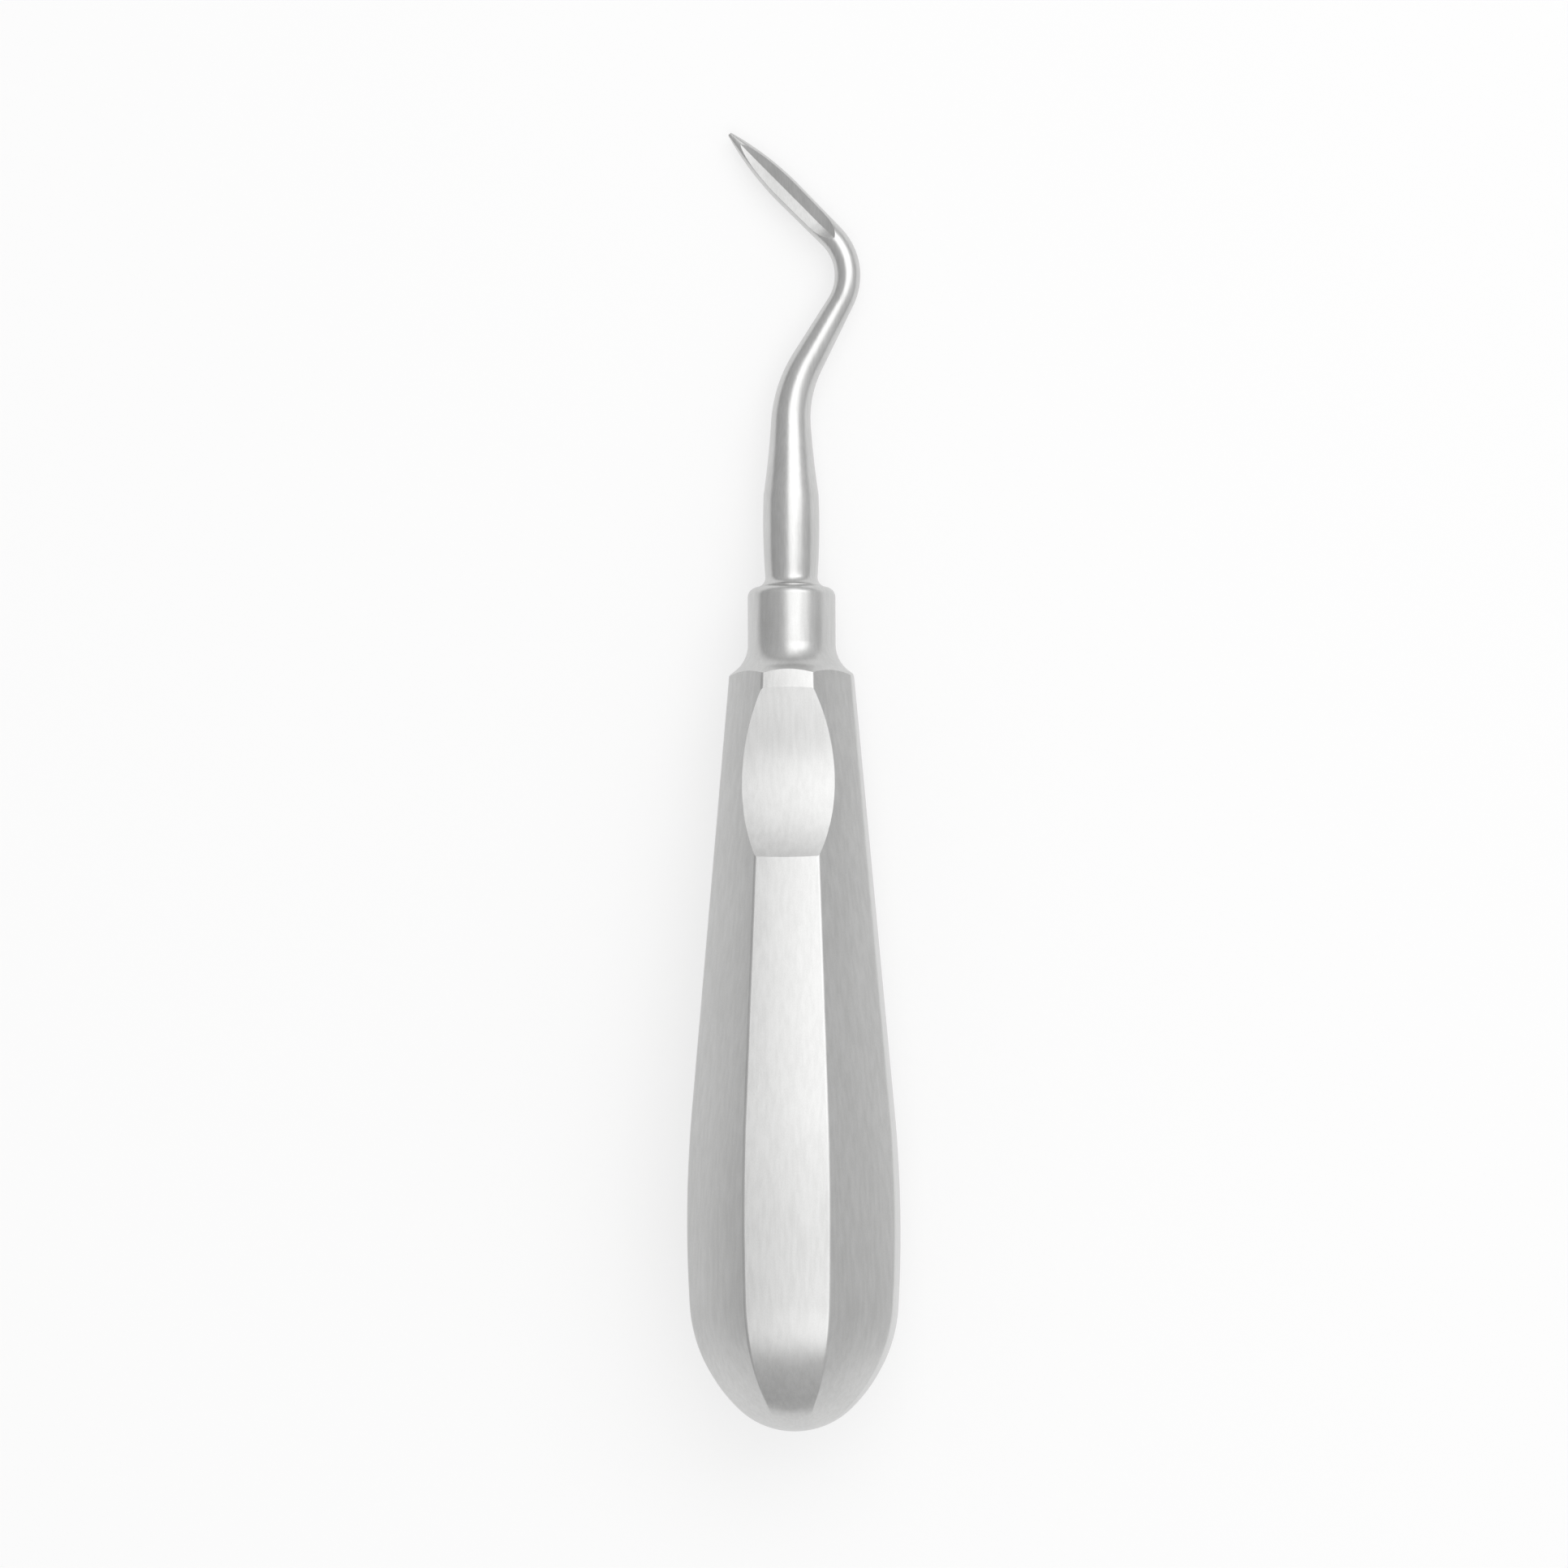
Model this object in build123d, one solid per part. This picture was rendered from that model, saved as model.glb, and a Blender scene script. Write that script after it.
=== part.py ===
from build123d import *
import os
from math import cos, radians, sin, sqrt, tan

# A dental root elevator: a hollow octagonal steel handle with a turned collar and a thumb scoop,
# and a forged working end with a tang, a twice bent shank and a hollow-ground spear-point blade.
#
# The tool is drawn along +Y, with the collar's end face at Y 0, the blade beyond it and the
# handle behind it. The scoop faces +Z and the shank bends in the XY plane. At the end the whole
# tool is laid on the plain facet at its back. Lengths are in mm and angles in degrees.

# Handle outline, from the collar's end face to the butt
HANDLE_LENGTH = 100.75
BELLY_WIDTH = 24.9  # across flats, at the widest place
FACETS = 8
TAPER_ANGLE = 4.95  # of each facet to the axis
BELLY_RADIUS = 158.0
BELLY_TURN = 3.4  # past the widest place, where the belly passes into the cheek
BUTT_RADIUS = 9.4
BUTT_TURN = 46.0  # where the cheek passes into the butt
WALL = 1.2

# Thumb scoop, ground across the front facet
SCOOP_START = 12.7  # behind the collar's end face
SCOOP_LENGTH = 20.25
SCOOP_DEPTH = 1.9

# Collar, turned in one with the handle
COLLAR_DIAMETER = 10.5
COLLAR_LENGTH = 6.8  # the cylindrical part
COLLAR_ROUND = 1.1
SHOULDER_RADIUS = 4.1  # hollow turned between the collar and the facets
SHOULDER_ANGLE = 52.0  # slope at which the hollow runs out over the facets
HOLLOW_START = 14.0  # where the bore opens into the hollow handle

# Tang of the working end, brazed into the collar's bore
TANG_DIAMETER = 4.9
TANG_LENGTH = 16.0
TANG_CHAMFER = 0.5
BRAZE_GAP = 0.05

# Straight run of the shank
SEAT_DIAMETER = 7.7
FLARE_HEIGHT = 1.3
FLARE_EDGE = 0.15
SHANK_DIAMETER = 6.25
BARREL_DIAMETER = 6.74
BARREL_PLACE = 7.5  # distance of the thickest place from the seat
BARREL_LENGTH = 11.2
BARREL_END_DIAMETER = 6.6
TAPER_HOLLOW = 0.08  # by which the taper's sides curve inwards
STRAIGHT_LENGTH = 19.7

# The two bends and the run between them
NECK_DIAMETER = 4.78
FIRST_BEND_RADIUS = 15.3
FIRST_BEND_ANGLE = 29.5
SLANT_DIAMETER = 4.0
SLANT_LENGTH = 8.2
CROOK_DIAMETER = 3.08
SECOND_BEND_RADIUS = 6.8
SECOND_BEND_ANGLE = 73.6
BEND_STEP = 10.0  # the shank's sections on the first bend are about this far apart

# Blade
BLADE_DIAMETER = 3.26  # at its thickest, where the point begins
BLADE_LENGTH = 17.55
POINT_LENGTH = 10.0
TIP_DIAMETER = 0.5
BLADE_ROLL = 2.0  # of the hollow-ground face, towards the outside of the second bend

# Hollow-ground groove of the blade
GROOVE_WIDTH = 2.55
GROOVE_DEPTH = 0.5
GROOVE_HEEL = 15.0  # from the tip to where the groove's floor begins to rise
GROOVE_HEEL_RADIUS = 5.5
GROOVE_HEEL_TURN = 50.0
GROOVE_POINT = 5.5  # from the tip to where the floor rises towards it
GROOVE_POINT_RADIUS = 30.0
GROOVE_POINT_TURN = 30.0

FACET_STEP = 360.0 / FACETS
BELLY_HALF = BELLY_WIDTH / 2
# The cheek's radius closes the outline on the axis.
CHEEK_RADIUS = (
    BELLY_HALF
    - BELLY_RADIUS * (1 - cos(radians(BELLY_TURN)))
    - BUTT_RADIUS * cos(radians(BUTT_TURN))
) / (cos(radians(BELLY_TURN)) - cos(radians(BUTT_TURN)))
BELLY_TO_BUTT = (
    BELLY_RADIUS * sin(radians(BELLY_TURN))
    + CHEEK_RADIUS * (sin(radians(BUTT_TURN)) - sin(radians(BELLY_TURN)))
    + BUTT_RADIUS * (1 - sin(radians(BUTT_TURN)))
)
BELLY_Y = BELLY_TO_BUTT - HANDLE_LENGTH
# The straight taper ends where it touches the belly's arc.
TAPER_END_Y = BELLY_Y + BELLY_RADIUS * sin(radians(TAPER_ANGLE))
TAPER_END_HALF = BELLY_HALF - BELLY_RADIUS * (1 - cos(radians(TAPER_ANGLE)))


def facet_height(y):
    """Distance of a facet's centre line from the axis, on the straight taper."""
    return TAPER_END_HALF - (y - TAPER_END_Y) * tan(radians(TAPER_ANGLE))


def side_outline(inset):
    """The handle seen square on to a side facet, moved inwards by inset all round."""
    taper = radians(TAPER_ANGLE)
    start = (
        BELLY_HALF - BELLY_RADIUS + (BELLY_RADIUS - inset) * cos(taper),
        BELLY_Y + (BELLY_RADIUS - inset) * sin(taper),
    )
    top = (facet_height(0) - inset / cos(taper), 0)
    side = Line(top, start)
    belly = JernArc(start, side % 1, BELLY_RADIUS - inset, -(TAPER_ANGLE + BELLY_TURN))
    cheek = JernArc(belly @ 1, belly % 1, CHEEK_RADIUS - inset, BELLY_TURN - BUTT_TURN)
    butt = JernArc(cheek @ 1, cheek % 1, BUTT_RADIUS - inset, BUTT_TURN - 90)
    half = side + belly + cheek + butt
    return make_face(half + mirror(half, Plane.YZ) + Line(top, (-top[0], 0)))


def octagon_bar(inset):
    """The faceted body: one facet's sector, repeated round the axis."""
    plate = extrude(side_outline(inset), BELLY_WIDTH, both=True)
    reach = BELLY_WIDTH
    spread = reach * tan(radians(FACET_STEP / 2))
    wedge_face = make_face(Polyline((0, 0), (reach, spread), (reach, -spread), close=True))
    wedge = extrude(Plane.XZ * wedge_face, HANDLE_LENGTH + WALL)
    sector = plate & wedge
    sectors = [Rot(0, FACET_STEP * number, 0) * sector for number in range(FACETS)]
    return sectors[0] + sectors[1:]


def turned_front():
    """The lathe's work on the handle: collar, hollow and the cone that runs out over the facets."""
    radius = COLLAR_DIAMETER / 2
    end_face = Line((0, 0), (radius - COLLAR_ROUND, 0))
    rounding = JernArc(end_face @ 1, (1, 0), COLLAR_ROUND, -90)
    barrel = Line(rounding @ 1, (radius, -COLLAR_LENGTH))
    hollow = JernArc(barrel @ 1, (0, -1), SHOULDER_RADIUS, SHOULDER_ANGLE)
    run_out = Line(hollow @ 1, hollow @ 1 + (hollow % 1) * BELLY_WIDTH)
    far = (run_out @ 1).X
    end = -HANDLE_LENGTH - WALL
    rest = Polyline(run_out @ 1, (far, end), (0, end), (0, 0))
    return revolve(make_face(end_face + rounding + barrel + hollow + run_out + rest), Axis.Y)


def scoop_cutter(allowance):
    """The wheel that grinds the thumb scoop, larger by the allowance."""
    taper = radians(TAPER_ANGLE)
    chord = SCOOP_LENGTH / cos(taper)
    radius = (chord**2 / 4 + SCOOP_DEPTH**2) / (2 * SCOOP_DEPTH)
    middle_y = -SCOOP_START - SCOOP_LENGTH / 2
    facet_point = Vector(0, middle_y, facet_height(middle_y))
    outward = Vector(0, sin(taper), cos(taper))
    centre = facet_point + outward * (radius - SCOOP_DEPTH)
    return Pos(*centre) * Cylinder(radius + allowance, 2 * BELLY_WIDTH, rotation=(0, 90, 0))


def axial_rod(diameter, start, end):
    """A round rod on the handle's axis, between two places along Y."""
    disc = Plane.XZ.offset(-start) * Circle(diameter / 2)
    return extrude(disc, start - end)


def hollow_inside():
    """The space inside the handle: the outside moved inwards, below the collar's solid neck."""
    space = octagon_bar(WALL) - scoop_cutter(WALL)
    neck = axial_rod(2 * BELLY_WIDTH, 0, -HOLLOW_START)
    return space - neck


def make_handle():
    """Octagonal shell with its scoop, its turned collar and the bore for the tang."""
    shell = (octagon_bar(0) & turned_front()) - scoop_cutter(0)
    bore = axial_rod(TANG_DIAMETER + 2 * BRAZE_GAP, 0, -HOLLOW_START - WALL)
    return shell - hollow_inside() - bore


def straight_run():
    """Tang, seat, flare, barrel and taper of the shank, turned about the axis."""
    tang_radius = TANG_DIAMETER / 2
    tang = Polyline(
        (0, -TANG_LENGTH),
        (tang_radius - TANG_CHAMFER, -TANG_LENGTH),
        (tang_radius, TANG_CHAMFER - TANG_LENGTH),
        (tang_radius, 0),
        (SEAT_DIAMETER / 2, 0),
        (SEAT_DIAMETER / 2, FLARE_EDGE),
    )
    base = (SHANK_DIAMETER / 2, FLARE_HEIGHT)
    flare = TangentArc(base, tang @ 1, tangent=(0, -1))
    barrel = ThreePointArc(
        base,
        (BARREL_DIAMETER / 2, BARREL_PLACE),
        (BARREL_END_DIAMETER / 2, BARREL_LENGTH),
    )
    taper = SagittaArc(barrel @ 1, (NECK_DIAMETER / 2, STRAIGHT_LENGTH), TAPER_HOLLOW)
    axis_line = Polyline(taper @ 1, (0, STRAIGHT_LENGTH), (0, -TANG_LENGTH))
    return revolve(make_face(tang + flare + barrel + taper + axis_line), Axis.Y)


def bend_path():
    """Centre lines of the first bend, the slant between the bends and the second bend."""
    first = JernArc((0, STRAIGHT_LENGTH), (0, 1), FIRST_BEND_RADIUS, -FIRST_BEND_ANGLE)
    slant = Line(first @ 1, first @ 1 + (first % 1) * SLANT_LENGTH)
    second = JernArc(slant @ 1, slant % 1, SECOND_BEND_RADIUS, SECOND_BEND_ANGLE)
    return first, slant, second


def first_bend():
    """The long bend, which grows thinner on its way, through round sections."""
    first = bend_path()[0]
    steps = round(FIRST_BEND_ANGLE / BEND_STEP)
    sections = []
    for step in range(steps + 1):
        share = step / steps
        diameter = NECK_DIAMETER + (SLANT_DIAMETER - NECK_DIAMETER) * share
        sections.append(section(first, share, diameter))
    return loft(sections)


def slant_run():
    """The straight taper between the bends."""
    slant = bend_path()[1]
    cone = Cone(
        SLANT_DIAMETER / 2,
        CROOK_DIAMETER / 2,
        SLANT_LENGTH,
        align=(Align.CENTER, Align.CENTER, Align.MIN),
    )
    return Plane(slant @ 0, z_dir=slant % 0) * cone


def crook():
    """The tight second bend: the round section turned about the bend's pivot."""
    second = bend_path()[2]
    pivot = Axis(second.arc_center, (0, 0, 1))
    return revolve(section(second, 0, CROOK_DIAMETER), pivot, SECOND_BEND_ANGLE)


def section(curve, share, diameter):
    """A round section square to a centre line, at a share of its length."""
    return Plane(curve @ share, x_dir=(0, 0, 1), z_dir=curve % share) * Circle(diameter / 2)


def blade_plane():
    """Plane through the blade's axis: origin at the tip, X to the heel, Y out of the ground face."""
    second = bend_path()[2]
    forward = second % 1
    tip = second @ 1 + forward * BLADE_LENGTH
    outside = Vector(forward.Y, -forward.X, 0)
    roll = radians(BLADE_ROLL)
    face_normal = Vector(0, 0, 1) * cos(roll) + outside * sin(roll)
    return Plane(tip, x_dir=-forward, z_dir=(-forward).cross(face_normal))


def blade_blank():
    """The round bar before grinding, with its swell and its drawn-out point."""
    heel = (BLADE_LENGTH, CROOK_DIAMETER / 2)
    widest = (POINT_LENGTH, BLADE_DIAMETER / 2)
    back = Line(heel, widest)
    point = TangentArc(widest, (0, TIP_DIAMETER / 2), tangent=(-1, 0))
    axis_line = Polyline(point @ 1, (0, 0), (BLADE_LENGTH, 0), heel)
    return revolve(make_face(back + point + axis_line), Axis.X)


def groove_cutter():
    """What the wheel's bevelled edge takes away: two flat walls that meet in a crease.

    Its track runs straight along the crease and rises at the heel and at the point.
    """
    rim_height = sqrt(BLADE_DIAMETER**2 - GROOVE_WIDTH**2) / 2
    height = rim_height - GROOVE_DEPTH
    crease = Line((GROOVE_POINT, height), (GROOVE_HEEL, height))
    heel = JernArc(crease @ 1, (1, 0), GROOVE_HEEL_RADIUS, GROOVE_HEEL_TURN)
    point = JernArc(crease @ 0, (-1, 0), GROOVE_POINT_RADIUS, -GROOVE_POINT_TURN)
    track = Wire([point, crease, heel])
    reach = BLADE_DIAMETER / 2
    spread = reach * GROOVE_WIDTH / 2 / GROOVE_DEPTH
    wheel_edge = make_face(Polyline((0, 0), (spread, -reach), (-spread, -reach), (0, 0)))
    return sweep(Plane(heel @ 1, x_dir=(0, 0, 1), z_dir=heel % 1) * wheel_edge, path=track)


def make_working_end():
    """One forging: tang and shank, and the blade with its hollow-ground face."""
    blade = blade_plane().from_local_coords(blade_blank() - groove_cutter())
    return straight_run() + first_bend() + slant_run() + crook() + blade


def rest_plane():
    """Middle of the flat back facet, seen from inside: the face that the tool lies on."""
    taper = radians(TAPER_ANGLE)
    corner_y = -COLLAR_LENGTH - SHOULDER_RADIUS
    middle_y = (corner_y + TAPER_END_Y) / 2
    return Plane(
        (0, middle_y, -facet_height(middle_y)), x_dir=(1, 0, 0), z_dir=(0, -sin(taper), cos(taper))
    )


os.makedirs("parts", exist_ok=True)
for name, piece in (("handle", make_handle()), ("working_end", make_working_end())):
    laid = rest_plane().to_local_coords(piece)
    export_step(laid, f"parts/{name}.step")
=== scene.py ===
from math import asin, atan2, cos, pi, radians, sin, sqrt, tan

import bpy
from mathutils import Matrix, Vector


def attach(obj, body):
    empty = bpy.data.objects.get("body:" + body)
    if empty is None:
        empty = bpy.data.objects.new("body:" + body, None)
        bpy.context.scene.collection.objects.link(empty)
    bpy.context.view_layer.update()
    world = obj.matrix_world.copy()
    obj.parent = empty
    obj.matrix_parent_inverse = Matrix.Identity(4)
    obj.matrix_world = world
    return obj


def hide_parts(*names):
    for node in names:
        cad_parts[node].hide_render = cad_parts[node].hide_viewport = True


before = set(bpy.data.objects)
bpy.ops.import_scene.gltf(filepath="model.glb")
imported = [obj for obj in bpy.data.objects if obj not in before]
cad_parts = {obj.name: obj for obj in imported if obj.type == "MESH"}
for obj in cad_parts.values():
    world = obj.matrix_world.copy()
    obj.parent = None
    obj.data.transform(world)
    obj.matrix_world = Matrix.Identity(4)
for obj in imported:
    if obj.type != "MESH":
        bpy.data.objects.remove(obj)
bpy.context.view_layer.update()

# A dental root elevator, lying on its plain back facet with the scoop and the blade face up.
# Each piece is drawn along +Y with the collar's end face at Y 0, as on the bench, and the
# finished piece is then laid on the table. Lengths are in metres and angles in radians.

MM = 0.001

# Handle
HANDLE_LENGTH = 100.75 * MM
BELLY_HALF = 12.45 * MM
TAPER = radians(4.95)
BELLY_RADIUS = 158.0 * MM
BELLY_TURN = radians(3.4)
BUTT_RADIUS = 9.4 * MM
BUTT_TURN = radians(46.0)
FACETS = 8
CROWN = 0.13  # how far the facets are crowned by hand polishing, from 0, flat, to 1, round
EDGE_ROUND = 0.20 * MM  # of the corners between the facets
EDGE_FULL_TURN = radians(35.0)  # a corner that turns by this or more is rounded in full
EDGE_FADED_TURN = radians(13.0)  # and one that turns by no more than this is left alone
EDGE_MOST_TURN = radians(60.0)  # past this it is the front end's rim, which is cut away
DOME_LENGTH = 10.0 * MM  # over which the facets fade into a round butt
DOME_FADE = 0.85  # how far they have faded at the pole
DOME_EASE = 1.5  # 1 fades them evenly, and more holds the fading back
SCOOP_START = 12.7 * MM
SCOOP_LENGTH = 20.25 * MM
SCOOP_DEPTH = 1.9 * MM
SCOOP_HALF = 6.0 * MM
SCOOP_CROWN_RADIUS = 180.0 * MM  # of the scoop's faint crown from side to side

# Collar
COLLAR_RADIUS = 5.25 * MM
COLLAR_LENGTH = 6.8 * MM
COLLAR_ROUND = 1.1 * MM
SHOULDER_RADIUS = 4.1 * MM
SHOULDER_ANGLE = radians(52.0)
SHOULDER_ROUND = 0.30 * MM
BORE_RADIUS = 2.5 * MM
BORE_DEPTH = 16.3 * MM

# Working end
TANG_RADIUS = 2.45 * MM
TANG_LENGTH = 16.0 * MM
TANG_CHAMFER = 0.5 * MM
SEAT_RADIUS = 3.85 * MM
SEAT_EDGE = 0.15 * MM
FLARE_HEIGHT = 1.3 * MM
SHANK_RADIUS = 3.125 * MM
BARREL_RADIUS = 3.37 * MM
BARREL_PLACE = 7.5 * MM
BARREL_LENGTH = 11.2 * MM
BARREL_END_RADIUS = 3.3 * MM
TAPER_HOLLOW = 0.08 * MM
STRAIGHT_LENGTH = 19.7 * MM
NECK_RADIUS = 2.39 * MM
FIRST_BEND_RADIUS = 15.3 * MM
FIRST_BEND = radians(29.5)
SLANT_LENGTH = 8.2 * MM
SLANT_RADIUS = 2.0 * MM
CROOK_RADIUS = 1.54 * MM
SECOND_BEND_RADIUS = 6.8 * MM
SECOND_BEND = radians(73.6)
BLADE_RADIUS = 1.63 * MM
BLADE_LENGTH = 17.55 * MM
POINT_LENGTH = 10.0 * MM
TIP_RADIUS = 0.25 * MM
BLADE_ROLL = radians(2.0)
GROOVE_HALF = 1.275 * MM
GROOVE_DEPTH = 0.5 * MM
GROOVE_HEEL = 15.0 * MM
GROOVE_HEEL_RADIUS = 5.5 * MM
GROOVE_HEEL_TURN = radians(50.0)
GROOVE_POINT = 5.5 * MM
GROOVE_POINT_RADIUS = 30.0 * MM
GROOVE_POINT_TURN = radians(30.0)

# Photograph
FRAME_WIDTH = 187.5 * MM  # what the picture's width spans at the handle
CAMERA_HEIGHT = 1000.0 * MM
CAMERA_SIDE = radians(4.2)  # the camera stands a little to the right of square
CAMERA_ROLL = radians(-0.6)
VIEW_CENTRE_X = -1.0 * MM
VIEW_CENTRE_Y = -23.56 * MM  # from the collar's end face, along the handle

# Studio
FLOOR_SIZE = 8.0
FLOOR_SHADE = 0.36  # the rest of its white is a glow, seen by the camera and in the steel
WORLD_LEVEL = 0.61
WORLD_RIGHT = 0.11  # how much lighter the world is to the right
WORLD_BEYOND = 0.05  # how much lighter it is beyond the tip
HORIZON_LEVEL = 0.58  # of the band round the horizon, as a share of the world above it
HORIZON_LOW = 0.02  # where the band starts to fade, as a share of the way straight up
HORIZON_HIGH = 0.30
LAMP_HEIGHT = 1.00
LOWER_LAMP_HEIGHT = 0.90
LAMP_LEFT = -0.13  # the left edge of three lamps, just past what the front facet mirrors

SIDES = 96  # of whatever is turned on the lathe
WHEEL_SIDES = 720  # of the large wheel that grinds the scoop

CHEEK_RADIUS = (
    BELLY_HALF - BELLY_RADIUS * (1 - cos(BELLY_TURN)) - BUTT_RADIUS * cos(BUTT_TURN)
) / (cos(BELLY_TURN) - cos(BUTT_TURN))
BELLY_TO_BUTT = (
    BELLY_RADIUS * sin(BELLY_TURN)
    + CHEEK_RADIUS * (sin(BUTT_TURN) - sin(BELLY_TURN))
    + BUTT_RADIUS * (1 - sin(BUTT_TURN))
)
BELLY_Y = BELLY_TO_BUTT - HANDLE_LENGTH
TAPER_END_Y = BELLY_Y + BELLY_RADIUS * sin(TAPER)
TAPER_END_HALF = BELLY_HALF - BELLY_RADIUS * (1 - cos(TAPER))


def facet_height(y):
    """Distance of a facet's middle from the axis, on the straight taper."""
    return TAPER_END_HALF - (y - TAPER_END_Y) * tan(TAPER)


def rest_matrix():
    """Lays a piece that was drawn along +Y on the middle of its flat back facet."""
    middle_y = (-COLLAR_LENGTH - SHOULDER_RADIUS + TAPER_END_Y) / 2
    facet_middle = Vector((0, middle_y, -facet_height(middle_y)))
    return Matrix.Rotation(-TAPER, 4, "X") @ Matrix.Translation(-facet_middle)


# Modelling

class Bar:
    """A bar raised ring by ring from a disc: drawn straight on, or bent round a pivot."""

    def __init__(self, name, place, heading, radius, sides=SIDES):
        self.place = Vector(place)
        self.heading = Vector(heading).normalized()
        self.radius = radius
        swing = atan2(-self.heading.x, self.heading.y)
        bpy.ops.object.select_all(action="DESELECT")
        bpy.ops.mesh.primitive_circle_add(
            vertices=sides,
            radius=radius,
            fill_type="NGON",
            location=self.place,
            rotation=(-pi / 2, 0, swing),
        )
        self.piece = bpy.context.object
        self.piece.name = name
        bpy.ops.object.transform_apply(location=True, rotation=True, scale=True)
        bpy.ops.object.mode_set(mode="EDIT")
        bpy.ops.mesh.select_all(action="SELECT")

    def size(self, radius):
        ratio = radius / self.radius
        bpy.ops.transform.resize(value=(ratio, ratio, ratio), center_override=self.place)
        self.radius = radius

    def draw(self, advance, radius):
        step = self.heading * advance
        bpy.ops.mesh.extrude_region_move(TRANSFORM_OT_translate={"value": step})
        self.place = self.place + step
        self.size(radius)

    def bend(self, pivot, angle, radius):
        """A positive angle bends to the left, seen from above."""
        bpy.ops.mesh.extrude_region_move()
        # With no window this operator turns the other way.
        bpy.ops.transform.rotate(value=-angle, orient_axis="Z", center_override=pivot)
        turn = Matrix.Rotation(angle, 3, "Z")
        self.place = Vector(pivot) + turn @ (self.place - Vector(pivot))
        self.heading = turn @ self.heading
        self.size(radius)

    def bend_round(self, bend_radius, angle, steps, radius_at):
        """An even bend, in steps, with the bar's radius given along it from 0 to 1."""
        side = Vector((-self.heading.y, self.heading.x, 0))
        pivot = self.place + side * (bend_radius if angle > 0 else -bend_radius)
        for step in range(1, steps + 1):
            self.bend(pivot, angle / steps, radius_at(step / steps))

    def profile(self, stations):
        """Draws on through stations, each a place along the heading from here and a radius."""
        start = self.place.copy()
        for along, radius in stations:
            self.draw(along - (self.place - start).dot(self.heading), radius)

    def close_pole(self, advance):
        """Draws on to a single point."""
        step = self.heading * advance
        bpy.ops.mesh.extrude_region_move(TRANSFORM_OT_translate={"value": step})
        bpy.ops.mesh.merge(type="CENTER")

    def finish(self):
        bpy.ops.mesh.select_all(action="SELECT")
        bpy.ops.mesh.normals_make_consistent(inside=False)
        bpy.ops.object.mode_set(mode="OBJECT")
        return self.piece


def arc_stations(centre, radius, start, end, steps):
    """Stations of a round profile: angles count from the axis's direction towards the outside."""
    stations = []
    for step in range(1, steps + 1):
        angle = start + (end - start) * step / steps
        stations.append((centre[0] + radius * cos(angle), centre[1] + radius * sin(angle)))
    return stations


def between(start, end):
    """A number that runs evenly from start to end as its share goes from 0 to 1."""
    return lambda share: start + (end - start) * share


def select_only(piece):
    bpy.ops.object.select_all(action="DESELECT")
    bpy.context.view_layer.objects.active = piece
    piece.select_set(True)


def apply_modifier(piece, kind, **settings):
    select_only(piece)
    modifier = piece.modifiers.new(kind.lower(), kind)
    for key, value in settings.items():
        setattr(modifier, key, value)
    bpy.ops.object.modifier_apply(modifier=modifier.name)


def cut(piece, tool, operation="DIFFERENCE"):
    """Cuts or trims a piece with a tool. The faces that the tool leaves keep its mark."""
    apply_modifier(
        piece, "BOOLEAN", operation=operation, object=tool, solver="EXACT", material_mode="INDEX"
    )
    bpy.data.objects.remove(tool)


# What shaped a face: its mark is its material slot, which the cuts carry over.
FACETED, TURNED, GROUND = MARKS = range(3)


def mark(piece, number):
    """Gives every face of a piece, or of the tool that cuts one, the same mark."""
    while len(piece.data.materials) < len(MARKS):
        piece.data.materials.append(None)
    for face in piece.data.polygons:
        face.material_index = number


def edge_faces(mesh):
    """The faces on each side of every edge."""
    sides = {edge.key: [] for edge in mesh.edges}
    for face in mesh.polygons:
        for key in face.edge_keys:
            sides[key].append(face)
    return sides


def round_edges(piece, chosen, width, segments):
    """Rounds each edge by the share of the width that chosen gives for its two faces."""
    mesh = piece.data
    sides = edge_faces(mesh)
    weights = mesh.attributes.new("bevel_weight_edge", "FLOAT", "EDGE")
    for edge in mesh.edges:
        faces = sides[edge.key]
        weights.data[edge.index].value = chosen(faces) if len(faces) == 2 else 0.0
    apply_modifier(
        piece,
        "BEVEL",
        limit_method="WEIGHT",
        width=width,
        segments=segments,
        offset_type="OFFSET",
        use_clamp_overlap=True,
        loop_slide=True,
        miter_outer="MITER_SHARP",
    )
    leftover = piece.data.attributes.get("bevel_weight_edge")
    if leftover:
        piece.data.attributes.remove(leftover)


def smooth(piece, sharp_angle):
    """Smooth shading that leaves the broad faces flat and the crisp edges crisp."""
    select_only(piece)
    bpy.ops.object.shade_smooth_by_angle(angle=sharp_angle)
    apply_modifier(piece, "WEIGHTED_NORMAL", mode="FACE_AREA", weight=50, keep_sharp=True)


def weld(piece, distance):
    """Merges the doubled points that the cuts leave."""
    select_only(piece)
    bpy.ops.object.mode_set(mode="EDIT")
    bpy.ops.mesh.select_all(action="SELECT")
    bpy.ops.mesh.remove_doubles(threshold=distance)
    bpy.ops.object.mode_set(mode="OBJECT")


# Handle

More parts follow.
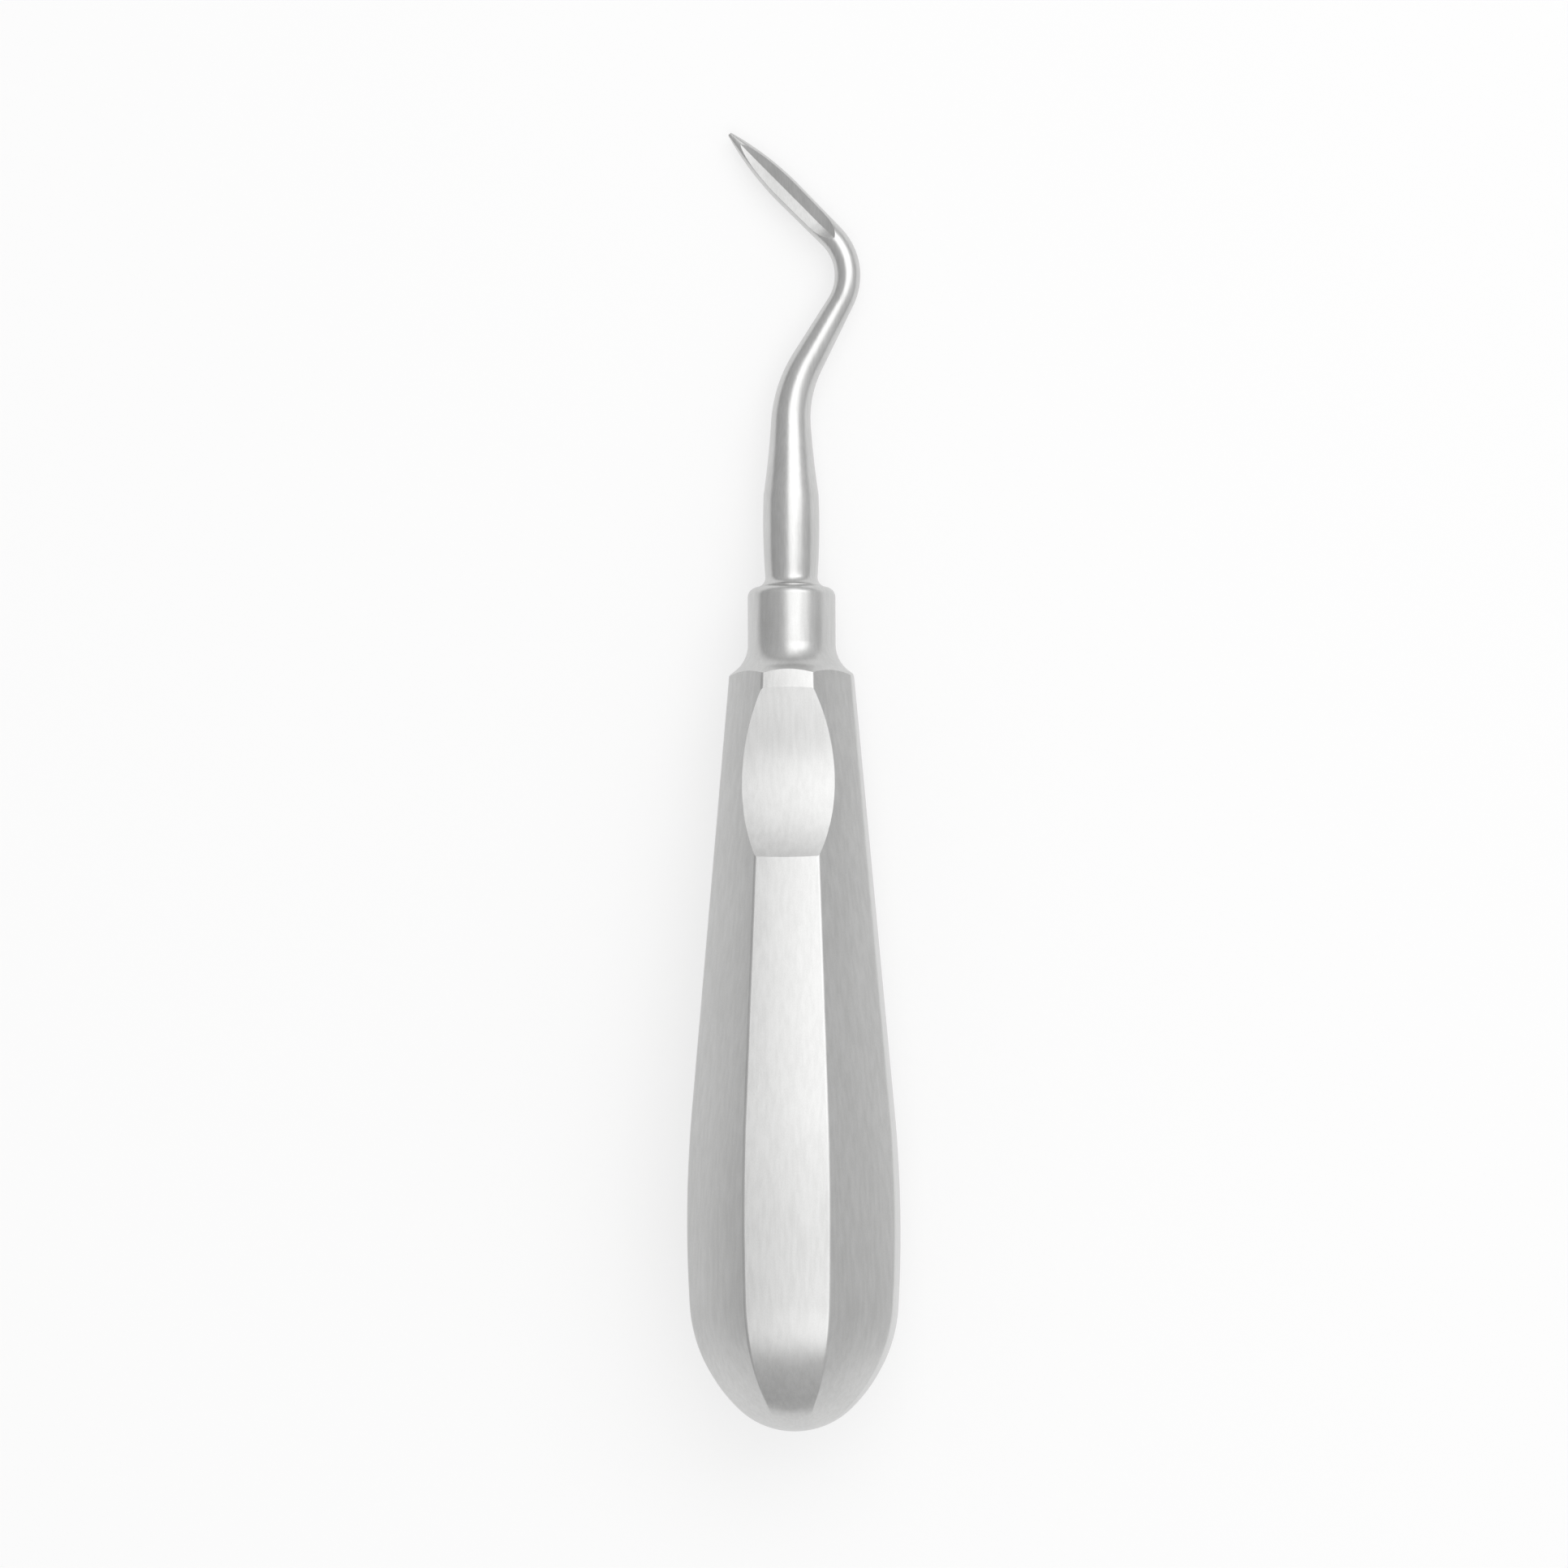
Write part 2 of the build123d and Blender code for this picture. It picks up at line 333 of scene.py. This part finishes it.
def handle_stations():
    """The taper, belly, cheek and butt: places from the front end and half widths there."""
    square = pi / 2
    belly_end = square - BELLY_TURN
    cheek_end = square - BUTT_TURN
    belly_centre = (-BELLY_Y, BELLY_HALF - BELLY_RADIUS)
    gap = BELLY_RADIUS - CHEEK_RADIUS
    cheek_centre = (
        belly_centre[0] + gap * sin(BELLY_TURN),
        belly_centre[1] + gap * cos(BELLY_TURN),
    )
    butt_centre = (HANDLE_LENGTH - BUTT_RADIUS, 0)
    stations = [(-TAPER_END_Y, TAPER_END_HALF)]
    stations += arc_stations(belly_centre, BELLY_RADIUS, square + TAPER, belly_end, steps=10)
    stations += arc_stations(cheek_centre, CHEEK_RADIUS, belly_end, cheek_end, steps=30)
    stations += arc_stations(butt_centre, BUTT_RADIUS, cheek_end, 0, steps=24)
    return stations


def octagon_bar():
    """The faceted body, from beyond the shoulder down to the pole of the butt."""
    # A corner lies this much further out than the middle of a facet.
    corner = 1 / cos(pi / FACETS)
    bar = Bar("handle", (0, 0, 0), (0, -1, 0), facet_height(0) * corner, FACETS)
    # The flats face up, down and to the sides, not the corners.
    bpy.ops.transform.rotate(value=pi / FACETS, orient_axis="Y", center_override=(0, 0, 0))
    # Each facet gets three more points across it, which the crown then raises.
    bpy.ops.mesh.subdivide(number_cuts=3)
    bpy.ops.transform.tosphere(value=CROWN, center_override=(0, 0, 0))
    faded = 0.0
    for along, half in handle_stations()[:-1]:
        bar.draw(along + bar.place.y, half * corner)
        share = max(0.0, 1 - (HANDLE_LENGTH - along) / DOME_LENGTH)
        fade = DOME_FADE * share**DOME_EASE
        # Each ring starts out as faded as the one before it.
        step = (fade - faded) / (1 - faded)
        bpy.ops.transform.tosphere(value=step, center_override=bar.place)
        faded = fade
    bar.close_pole(HANDLE_LENGTH + bar.place.y)
    return bar.finish()


def turned_front():
    """The lathe's work: collar, hollow and the cone that runs out over the facets."""
    bar = Bar("turned_front", (0, 0, 0), (0, -1, 0), COLLAR_RADIUS - COLLAR_ROUND)
    round_centre = (COLLAR_ROUND, COLLAR_RADIUS - COLLAR_ROUND)
    hollow_centre = (COLLAR_LENGTH, COLLAR_RADIUS + SHOULDER_RADIUS)
    stations = arc_stations(round_centre, COLLAR_ROUND, pi, pi / 2, steps=8)
    stations.append((COLLAR_LENGTH, COLLAR_RADIUS))
    stations += arc_stations(
        hollow_centre, SHOULDER_RADIUS, -pi / 2, -pi / 2 + SHOULDER_ANGLE, steps=18
    )
    along, radius = stations[-1]
    # The cone opens to well outside the facets and then runs on past the butt.
    far = 2 * BELLY_HALF
    stations.append((along + (far - radius) / tan(SHOULDER_ANGLE), far))
    stations.append((1.1 * HANDLE_LENGTH, far))
    bar.profile(stations)
    return bar.finish()


def bore_drill():
    drill = Bar("bore_drill", (0, COLLAR_ROUND, 0), (0, -1, 0), BORE_RADIUS)
    drill.profile([(COLLAR_ROUND + BORE_DEPTH, BORE_RADIUS)])
    return drill.finish()


def scoop_wheel():
    """The wheel that grinds the thumb scoop. Its rim is worn a little hollow."""
    chord = SCOOP_LENGTH / cos(TAPER)
    radius = (chord**2 / 4 + SCOOP_DEPTH**2) / (2 * SCOOP_DEPTH)
    middle_y = -SCOOP_START - SCOOP_LENGTH / 2
    outward = Vector((0, sin(TAPER), cos(TAPER)))
    facet_point = Vector((0, middle_y, facet_height(middle_y)))
    middle = facet_point + outward * (radius - SCOOP_DEPTH)
    side = Vector((-SCOOP_HALF, 0, 0))
    wear = SCOOP_HALF**2 / (2 * SCOOP_CROWN_RADIUS)
    bar = Bar("scoop_wheel", middle + side, (1, 0, 0), radius + wear, WHEEL_SIDES)
    steps = 8
    places = [2 * step / steps - 1 for step in range(1, steps + 1)]
    bar.profile([(SCOOP_HALF * (place + 1), radius + wear * place**2) for place in places])
    return bar.finish()


def make_handle():
    """The octagonal handle with its scoop, its turned collar and the tang's bore."""
    handle = octagon_bar()

    def corner(faces):
        turn = faces[0].normal.angle(faces[1].normal)
        if turn > EDGE_MOST_TURN:
            return 0.0
        share = (turn - EDGE_FADED_TURN) / (EDGE_FULL_TURN - EDGE_FADED_TURN)
        return min(1.0, max(0.0, share))

    round_edges(handle, corner, EDGE_ROUND, segments=4)
    mark(handle, FACETED)
    front = turned_front()
    mark(front, TURNED)
    cut(handle, front, "INTERSECT")
    drill = bore_drill()
    mark(drill, TURNED)
    cut(handle, drill)
    wheel = scoop_wheel()
    mark(wheel, GROUND)
    cut(handle, wheel)
    weld(handle, distance=0.002 * MM)

    def scallop(faces):
        return 1.0 if {face.material_index for face in faces} == {FACETED, TURNED} else 0.0

    # The scoop's outline stays as crisp as the wheel leaves it.
    round_edges(handle, scallop, SHOULDER_ROUND, segments=3)
    smooth(handle, sharp_angle=radians(20))
    return handle


# Working end

def three_point_stations(start, middle, end, steps):
    """Stations on the arc through three points of a profile."""
    start, middle, end = Vector(start), Vector(middle), Vector(end)
    to_middle, to_end = middle - start, end - start
    twice = 2 * (to_middle.x * to_end.y - to_middle.y * to_end.x)
    offset = Vector(
        (
            to_end.y * to_middle.length_squared - to_middle.y * to_end.length_squared,
            to_middle.x * to_end.length_squared - to_end.x * to_middle.length_squared,
        )
    ) / twice
    centre = start + offset
    first = atan2(start.y - centre.y, start.x - centre.x)
    last = atan2(end.y - centre.y, end.x - centre.x)
    return arc_stations(centre, offset.length, first, last, steps)


def straight_stations():
    """Tang, seat, flare, barrel and taper of the shank, counted from the tang's end."""
    stations = [(TANG_CHAMFER, TANG_RADIUS), (TANG_LENGTH, TANG_RADIUS), (TANG_LENGTH, SEAT_RADIUS)]
    rise = FLARE_HEIGHT - SEAT_EDGE
    spread = SEAT_RADIUS - SHANK_RADIUS
    flare_radius = (rise**2 + spread**2) / (2 * spread)
    flare_centre = (TANG_LENGTH + FLARE_HEIGHT, SHANK_RADIUS + flare_radius)
    start = atan2(spread - flare_radius, -rise)
    stations.append((TANG_LENGTH + SEAT_EDGE, SEAT_RADIUS))
    stations += arc_stations(flare_centre, flare_radius, start, -pi / 2, steps=8)
    barrel_end = (TANG_LENGTH + BARREL_LENGTH, BARREL_END_RADIUS)
    stations += three_point_stations(
        stations[-1], (TANG_LENGTH + BARREL_PLACE, BARREL_RADIUS), barrel_end, steps=14
    )
    neck = (TANG_LENGTH + STRAIGHT_LENGTH, NECK_RADIUS)
    halfway = (Vector(barrel_end) + Vector(neck)) / 2 - Vector((0, TAPER_HOLLOW))
    stations += three_point_stations(barrel_end, halfway, neck, steps=10)
    return stations


def point_stations():
    """The blade's swell and its drawn-out point, counted from the end of the bend."""
    straight = BLADE_LENGTH - POINT_LENGTH
    steps = 8
    swell = between(CROOK_RADIUS, BLADE_RADIUS)
    stations = [(straight * step / steps, swell(step / steps)) for step in range(1, steps + 1)]
    drop = BLADE_RADIUS - TIP_RADIUS
    radius = (POINT_LENGTH**2 + drop**2) / (2 * drop)
    turn = asin(POINT_LENGTH / radius)
    centre = (straight, BLADE_RADIUS - radius)
    stations += arc_stations(centre, radius, pi / 2, pi / 2 - turn, steps=24)
    return stations


def groove_wheel(tip, forward):
    """What the wheel's bevelled edge takes away: two flat walls that meet in a crease.

    Its track runs straight along the crease and rises at the heel and at the point.
    """
    # The bar's middle runs this far above the crease.
    reach = BLADE_RADIUS
    rim_height = sqrt(BLADE_RADIUS**2 - GROOVE_HALF**2)
    height = rim_height - GROOVE_DEPTH + reach
    heel_radius = GROOVE_HEEL_RADIUS - reach
    point_radius = GROOVE_POINT_RADIUS - reach
    start = Vector(
        (
            GROOVE_HEEL + heel_radius * sin(GROOVE_HEEL_TURN),
            height + heel_radius * (1 - cos(GROOVE_HEEL_TURN)),
            0,
        )
    )
    heading = (-cos(GROOVE_HEEL_TURN), -sin(GROOVE_HEEL_TURN), 0)
    bar = Bar("groove_wheel", start, heading, reach, sides=4)
    # The square section becomes a flat diamond, as blunt as the wheel's edge.
    spread = GROOVE_HALF / GROOVE_DEPTH
    bpy.ops.transform.resize(value=(1, 1, spread), center_override=bar.place)
    steady = between(reach, reach)
    bar.bend_round(heel_radius, -GROOVE_HEEL_TURN, steps=24, radius_at=steady)
    bar.draw(GROOVE_HEEL - GROOVE_POINT, reach)
    bar.bend_round(point_radius, -GROOVE_POINT_TURN, steps=24, radius_at=steady)
    wheel = bar.finish()
    outside = Vector((forward.y, -forward.x, 0))
    face_normal = Vector((0, 0, 1)) * cos(BLADE_ROLL) + outside * sin(BLADE_ROLL)
    axes = Matrix((-forward, face_normal, (-forward).cross(face_normal))).transposed()
    wheel.data.transform(Matrix.Translation(tip) @ axes.to_4x4())
    return wheel


def make_working_end():
    """Tang, bent shank and blade: one bar, drawn out, bent and then ground."""
    bar = Bar("working_end", (0, -TANG_LENGTH, 0), (0, 1, 0), TANG_RADIUS - TANG_CHAMFER)
    bar.profile(straight_stations())
    neck = between(NECK_RADIUS, SLANT_RADIUS)
    slant = between(SLANT_RADIUS, CROOK_RADIUS)
    crook = between(CROOK_RADIUS, CROOK_RADIUS)
    bar.bend_round(FIRST_BEND_RADIUS, -FIRST_BEND, steps=15, radius_at=neck)
    steps = 6
    for step in range(1, steps + 1):
        bar.draw(SLANT_LENGTH / steps, slant(step / steps))
    bar.bend_round(SECOND_BEND_RADIUS, SECOND_BEND, steps=32, radius_at=crook)
    bar.profile(point_stations())
    piece = bar.finish()
    mark(piece, FACETED)
    wheel = groove_wheel(bar.place, bar.heading)
    mark(wheel, GROUND)
    cut(piece, wheel)
    weld(piece, distance=0.001 * MM)
    smooth(piece, sharp_angle=radians(28))
    return piece


# Shader maths and materials

class Value:
    """A number socket of a node tree, so that its maths reads as plain expressions."""

    def __init__(self, nodes, socket):
        self.nodes = nodes
        self.socket = socket

    def math(self, operation, *others):
        return self.nodes.node("ShaderNodeMath", {"operation": operation}, [self, *others])

    def __add__(self, other):
        return self.math("ADD", other)

    __radd__ = __add__

    def __mul__(self, other):
        return self.math("MULTIPLY", other)

    __rmul__ = __mul__

    def ramp(self, low, high):
        """0 below low, 1 above high and smooth between them."""
        settings = {"interpolation_type": "SMOOTHSTEP"}
        return self.nodes.node("ShaderNodeMapRange", settings, [self, low, high, 0.0, 1.0])


class Nodes:
    """A node tree, to which nodes are added with their settings and inputs."""

    def __init__(self, tree):
        self.tree = tree

    def feed(self, socket, value):
        if isinstance(value, Value):
            self.tree.links.new(value.socket, socket)
        elif value is not None:
            socket.default_value = value

    def node(self, kind, settings, inputs, output=0):
        """Adds a node. Its settings come first, then its inputs by place or by name."""
        node = self.tree.nodes.new(kind)
        for key, value in settings.items():
            setattr(node, key, value)
        pairs = inputs.items() if isinstance(inputs, dict) else enumerate(inputs)
        for key, value in pairs:
            self.feed(node.inputs[key], value)
        return Value(self, node.outputs[output])

    def mix(self, share, first, second):
        """Mixes two colours."""
        inputs = {0: share, 6: first, 7: second}
        return self.node("ShaderNodeMix", {"data_type": "RGBA"}, inputs, 2)

    def axes(self, output):
        """The three numbers of a texture coordinate."""
        place = self.node("ShaderNodeTexCoord", {}, {}, output)
        split = self.node("ShaderNodeSeparateXYZ", {}, [place])
        return [Value(self, socket) for socket in split.socket.node.outputs]

    def ray_is(self, *kinds):
        """1 for the kinds of ray that are named, and 0 for the others."""
        path = self.tree.nodes.new("ShaderNodeLightPath")
        total = Value(self, path.outputs[kinds[0]])
        for kind in kinds[1:]:
            total = total.math("MAXIMUM", Value(self, path.outputs[kind]))
        return total


class Finish(Nodes):
    """A procedural material."""

    def __init__(self, name):
        self.material = bpy.data.materials.new(name)
        self.material.use_nodes = True
        super().__init__(self.material.node_tree)
        self.shader = self.tree.nodes["Principled BSDF"]

    def noise(self, grains, detail=2.0, roughness=0.5):
        """Noise on object coordinates, with so many grains to the metre along X, Y and Z."""
        place = self.node("ShaderNodeTexCoord", {}, {}, "Object")
        stretched = self.node("ShaderNodeMapping", {}, {"Vector": place, "Scale": grains})
        inputs = {"Vector": stretched, "Scale": 1.0, "Detail": detail, "Roughness": roughness}
        return self.node("ShaderNodeTexNoise", {}, inputs, "Fac")

    def set(self, **values):
        for name, value in values.items():
            self.feed(self.shader.inputs[name.replace("_", " ")], value)

    def bare_steel(self, tone, roughness):
        """Bare metal, a little darker or lighter by its tone."""
        shade = self.mix(tone.ramp(0.3, 0.7), DARK_STEEL, LIGHT_STEEL)
        self.set(Metallic=1.0, Base_Color=shade, Roughness=roughness)

    def bump(self, height, strength, distance):
        inputs = {"Strength": strength, "Distance": distance, "Height": height}
        self.set(Normal=self.node("ShaderNodeBump", {}, inputs))


LIGHT_STEEL = (0.66, 0.66, 0.655, 1)
DARK_STEEL = (0.57, 0.57, 0.565, 1)


def satin_steel():
    """Matt stainless steel, finished lengthwise with a fine abrasive."""
    finish = Finish("satin_steel")
    streaks = finish.noise((2200, 260, 2200), detail=3.0)
    grain = finish.noise((9000, 5000, 9000), detail=2.0)
    patches = finish.noise((260, 120, 260), detail=3.0)
    tone = streaks * 0.45 + grain * 0.3 + patches * 0.25
    finish.bare_steel(tone, roughness=tone * 0.12 + 0.27)
    finish.bump(streaks * 0.5 + grain * 0.5, strength=0.25, distance=0.02 * MM)
    return finish.material


def scoop_steel():
    """The scoop's satin finish: brushed along it, with the wheel's faint mottling."""
    finish = Finish("scoop_steel")
    streaks = finish.noise((1500, 220, 1500), detail=3.0)
    mottling = finish.noise((420, 300, 420), detail=4.0, roughness=0.6)
    grain = finish.noise((8000, 6000, 8000), detail=2.0)
    tone = streaks * 0.35 + mottling * 0.4 + grain * 0.25
    finish.bare_steel(tone, roughness=mottling * 0.16 + 0.24)
    finish.bump(streaks * 0.4 + mottling * 0.3 + grain * 0.3, strength=0.3, distance=0.03 * MM)
    return finish.material


def turned_steel():
    """Bright stainless steel with the faint rings of the lathe."""
    finish = Finish("turned_steel")
    rings = finish.noise((300, 7000, 300), detail=2.0)
    grain = finish.noise((5000, 5000, 5000), detail=2.0)
    tone = rings * 0.6 + grain * 0.4
    finish.bare_steel(tone, roughness=tone * 0.08 + 0.18)
    finish.bump(rings, strength=0.15, distance=0.01 * MM)
    return finish.material


def polished_steel():
    """The shank, polished by hand after forging, so a little uneven along its length."""
    finish = Finish("polished_steel")
    waves = finish.noise((350, 160, 350), detail=3.0)
    scratches = finish.noise((6000, 500, 6000), detail=2.0)
    tone = waves * 0.5 + scratches * 0.5
    finish.bare_steel(tone, roughness=tone * 0.14 + 0.24)
    finish.bump(waves * 0.8 + scratches * 0.2, strength=0.3, distance=0.03 * MM)
    return finish.material


def ground_steel():
    """The blade's ground face, with the fine marks of the wheel."""
    finish = Finish("ground_steel")
    marks = finish.noise((7000, 7000, 1500), detail=2.0)
    patches = finish.noise((900, 900, 900), detail=3.0)
    tone = marks * 0.5 + patches * 0.5
    finish.bare_steel(tone, roughness=tone * 0.12 + 0.24)
    finish.bump(tone, strength=0.3, distance=0.01 * MM)
    return finish.material


def dress(piece, node, materials):
    """Lays a finished piece on the table, in place of its plain solid.

    Its materials go by the marks on its faces: faceted, turned and ground.
    """
    piece.data.transform(rest_matrix())
    piece.data.materials.clear()
    for material in materials:
        piece.data.materials.append(material)
    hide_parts(node)
    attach(piece, "root")


# Stage

def make_floor():
    bpy.ops.object.select_all(action="DESELECT")
    bpy.ops.mesh.primitive_plane_add(size=FLOOR_SIZE, location=(0, 0, 0))
    floor = bpy.context.object
    floor.name = "floor"
    paper = Finish("floor_white")
    shade = (FLOOR_SHADE, FLOOR_SHADE, FLOOR_SHADE, 1)
    paper.set(Base_Color=shade, Roughness=0.9, Specular_IOR_Level=0.0)
    seen = paper.ray_is("Is Camera Ray", "Is Glossy Ray", "Is Transmission Ray")
    paper.set(Emission_Color=(1, 1, 1, 1), Emission_Strength=seen * (1 - FLOOR_SHADE))
    floor.data.materials.append(paper.material)


def make_world():
    """A grey studio, a little lighter to the right, with a darker band round its horizon."""
    world = bpy.data.worlds.new("studio")
    bpy.context.scene.world = world
    world.use_nodes = True
    nodes = Nodes(world.node_tree)
    background = world.node_tree.nodes["Background"]
    right, beyond, up = nodes.axes("Generated")
    level = right * WORLD_RIGHT + beyond * WORLD_BEYOND + WORLD_LEVEL
    above_horizon = up.ramp(HORIZON_LOW, HORIZON_HIGH) * (1 - HORIZON_LEVEL) + HORIZON_LEVEL
    nodes.feed(background.inputs["Strength"], level * above_horizon)
    background.inputs["Color"].default_value = (1, 1, 1, 1)


def softbox(name, height, left, right, near, far, radiance):
    """A rectangular lamp overhead, facing down, given by its four sides.

    Lamps that overlap at one height don't add up in a reflection, so those stand lower.
    """
    lamp = bpy.data.lights.new(name, "AREA")
    lamp.shape = "RECTANGLE"
    lamp.size = right - left
    lamp.size_y = far - near
    lamp.energy = radiance * pi * lamp.size * lamp.size_y
    holder = bpy.data.objects.new(name, lamp)
    holder.location = ((left + right) / 2, (near + far) / 2, height)
    bpy.context.scene.collection.objects.link(holder)


def make_camera():
    camera = bpy.data.cameras.new("camera")
    holder = bpy.data.objects.new("camera", camera)
    bpy.context.scene.collection.objects.link(holder)
    centre = rest_matrix() @ Vector((VIEW_CENTRE_X, VIEW_CENTRE_Y, 0))
    lean = Matrix.Rotation(CAMERA_SIDE, 4, "Y")
    place = centre + lean.to_3x3() @ Vector((0, 0, CAMERA_HEIGHT))
    holder.matrix_world = Matrix.Translation(place) @ lean @ Matrix.Rotation(CAMERA_ROLL, 4, "Z")
    camera.sensor_width = 36.0
    camera.lens = camera.sensor_width * CAMERA_HEIGHT / FRAME_WIDTH
    camera.clip_start = 0.05
    camera.clip_end = 20.0
    bpy.context.scene.camera = holder


def make_stage():
    make_floor()
    make_world()
    high, low = LAMP_HEIGHT, LOWER_LAMP_HEIGHT
    softbox("softbox_broad", high, LAMP_LEFT, 0.56, near=-0.80, far=2.20, radiance=0.72)
    softbox("softbox_beyond_tip", low, LAMP_LEFT, 1.01, near=0.18, far=1.00, radiance=0.62)
    softbox("softbox_behind_butt", low, LAMP_LEFT, 0.71, near=-0.66, far=-0.12, radiance=0.42)
    softbox("softbox_right", high, 0.56, 1.21, near=0.30, far=1.30, radiance=0.65)
    make_camera()
    bpy.context.scene.view_settings.view_transform = "Standard"


polished = polished_steel()
dress(make_handle(), "handle", [satin_steel(), turned_steel(), scoop_steel()])
dress(make_working_end(), "working_end", [polished, polished, ground_steel()])
make_stage()
